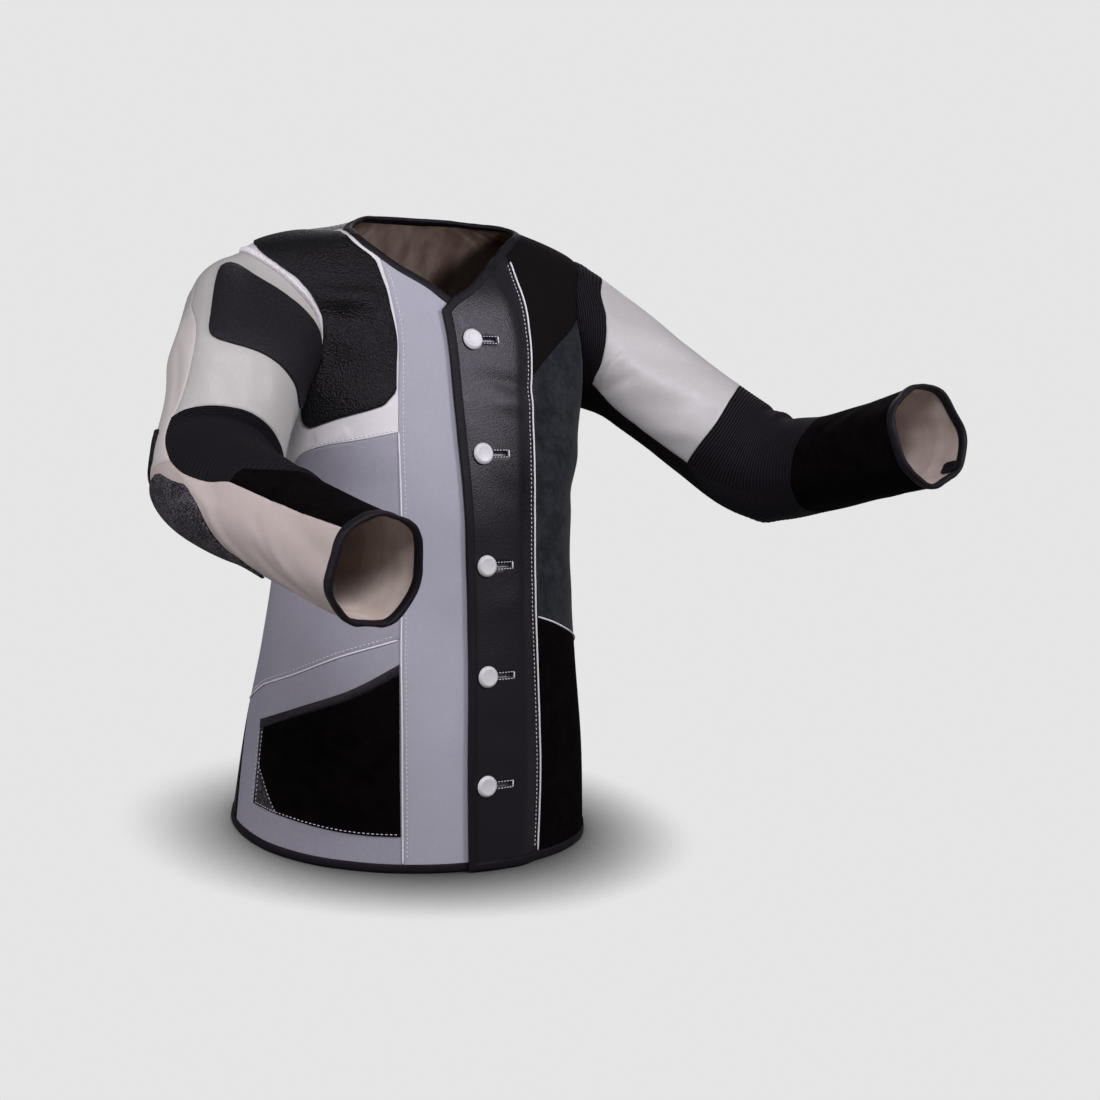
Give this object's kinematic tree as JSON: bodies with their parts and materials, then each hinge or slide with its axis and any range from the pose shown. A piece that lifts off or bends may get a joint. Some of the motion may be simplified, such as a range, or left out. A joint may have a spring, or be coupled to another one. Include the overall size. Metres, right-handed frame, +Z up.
{
  "type": "target shooting jacket",
  "caption": "Target shooting jacket, filled out with no wearer: panelled front with a buttoned placket, patch pocket, non-slip pads and two bent sleeves.",
  "frame": {"origin": "on the floor under the middle of the whole jacket's box, hem standing on z = 0", "axes": "+Z up from hem to neck, -Y is the way the wearer would face, +X is the wearer's left"},
  "size_m": [0.7716, 0.5438, 0.6495],
  "materials": {
    "front_canvas": "fine-grained pale grey canvas",
    "side_canvas": "fine-grained blue-grey canvas",
    "white_leather": "smooth white leather",
    "grey_leather": "smooth satin grey leather",
    "off_white_leather": "smooth off-white leather",
    "beige_leather": "soft beige leather",
    "silver_leather": "satin silver-grey leather",
    "black_leather": "grained black leather with a soft sheen",
    "black_canvas": "matt black canvas",
    "slate_suede": "mottled slate suede",
    "black_suede": "black suede",
    "black_rib": "black rib knit",
    "pebbled_pad": "pebbled non-slip rubber",
    "speckled_pad": "coarse speckled non-slip rubber",
    "binding_leather": "thin black leather tape",
    "white_cord": "white covered piping cord",
    "white_plastic": "pearly white plastic"
  },
  "bodies": {
    "root": {"right_front": "front_canvas", "right_chest": "white_leather", "right_side_upper": "side_canvas", "right_side_lower": "side_canvas", "left_placket": "black_leather", "left_yoke": "black_canvas", "left_chest": "slate_suede", "left_lower": "black_suede", "back": "black_canvas", "shoulder_pad": "pebbled_pad", "pocket": "black_suede", "pocket_tape": "binding_leather", "pocket_corner": "speckled_pad", "pocket_zip": "black_leather", "left_shoulder_rib": "black_rib", "left_upper_sleeve": "silver_leather", "left_under_sleeve": "black_canvas", "left_elbow_rib": "black_rib", "left_forearm": "black_suede", "right_upper_sleeve": "grey_leather", "right_sleeve_cap": "grey_leather", "right_outer_sleeve": "off_white_leather", "right_under_sleeve": "black_canvas", "right_elbow_rib": "black_rib", "right_forearm_strip": "black_suede", "right_forearm": "beige_leather", "right_sleeve_pad": "pebbled_pad", "right_elbow_pad": "speckled_pad", "right_rear_pad": "pebbled_pad", "neck_binding": "binding_leather", "placket_binding": "binding_leather", "hem_binding": "binding_leather", "left_cuff_binding": "binding_leather", "right_cuff_binding": "binding_leather", "left_cuff_tab": "binding_leather", "left_front_piping": "white_cord", "right_princess_piping": "white_cord", "right_diagonal_piping": "white_cord", "left_suede_piping": "white_cord", "button_1": "white_plastic", "button_2": "white_plastic", "button_3": "white_plastic", "button_4": "white_plastic", "button_5": "white_plastic"}
  },
  "joints": []
}
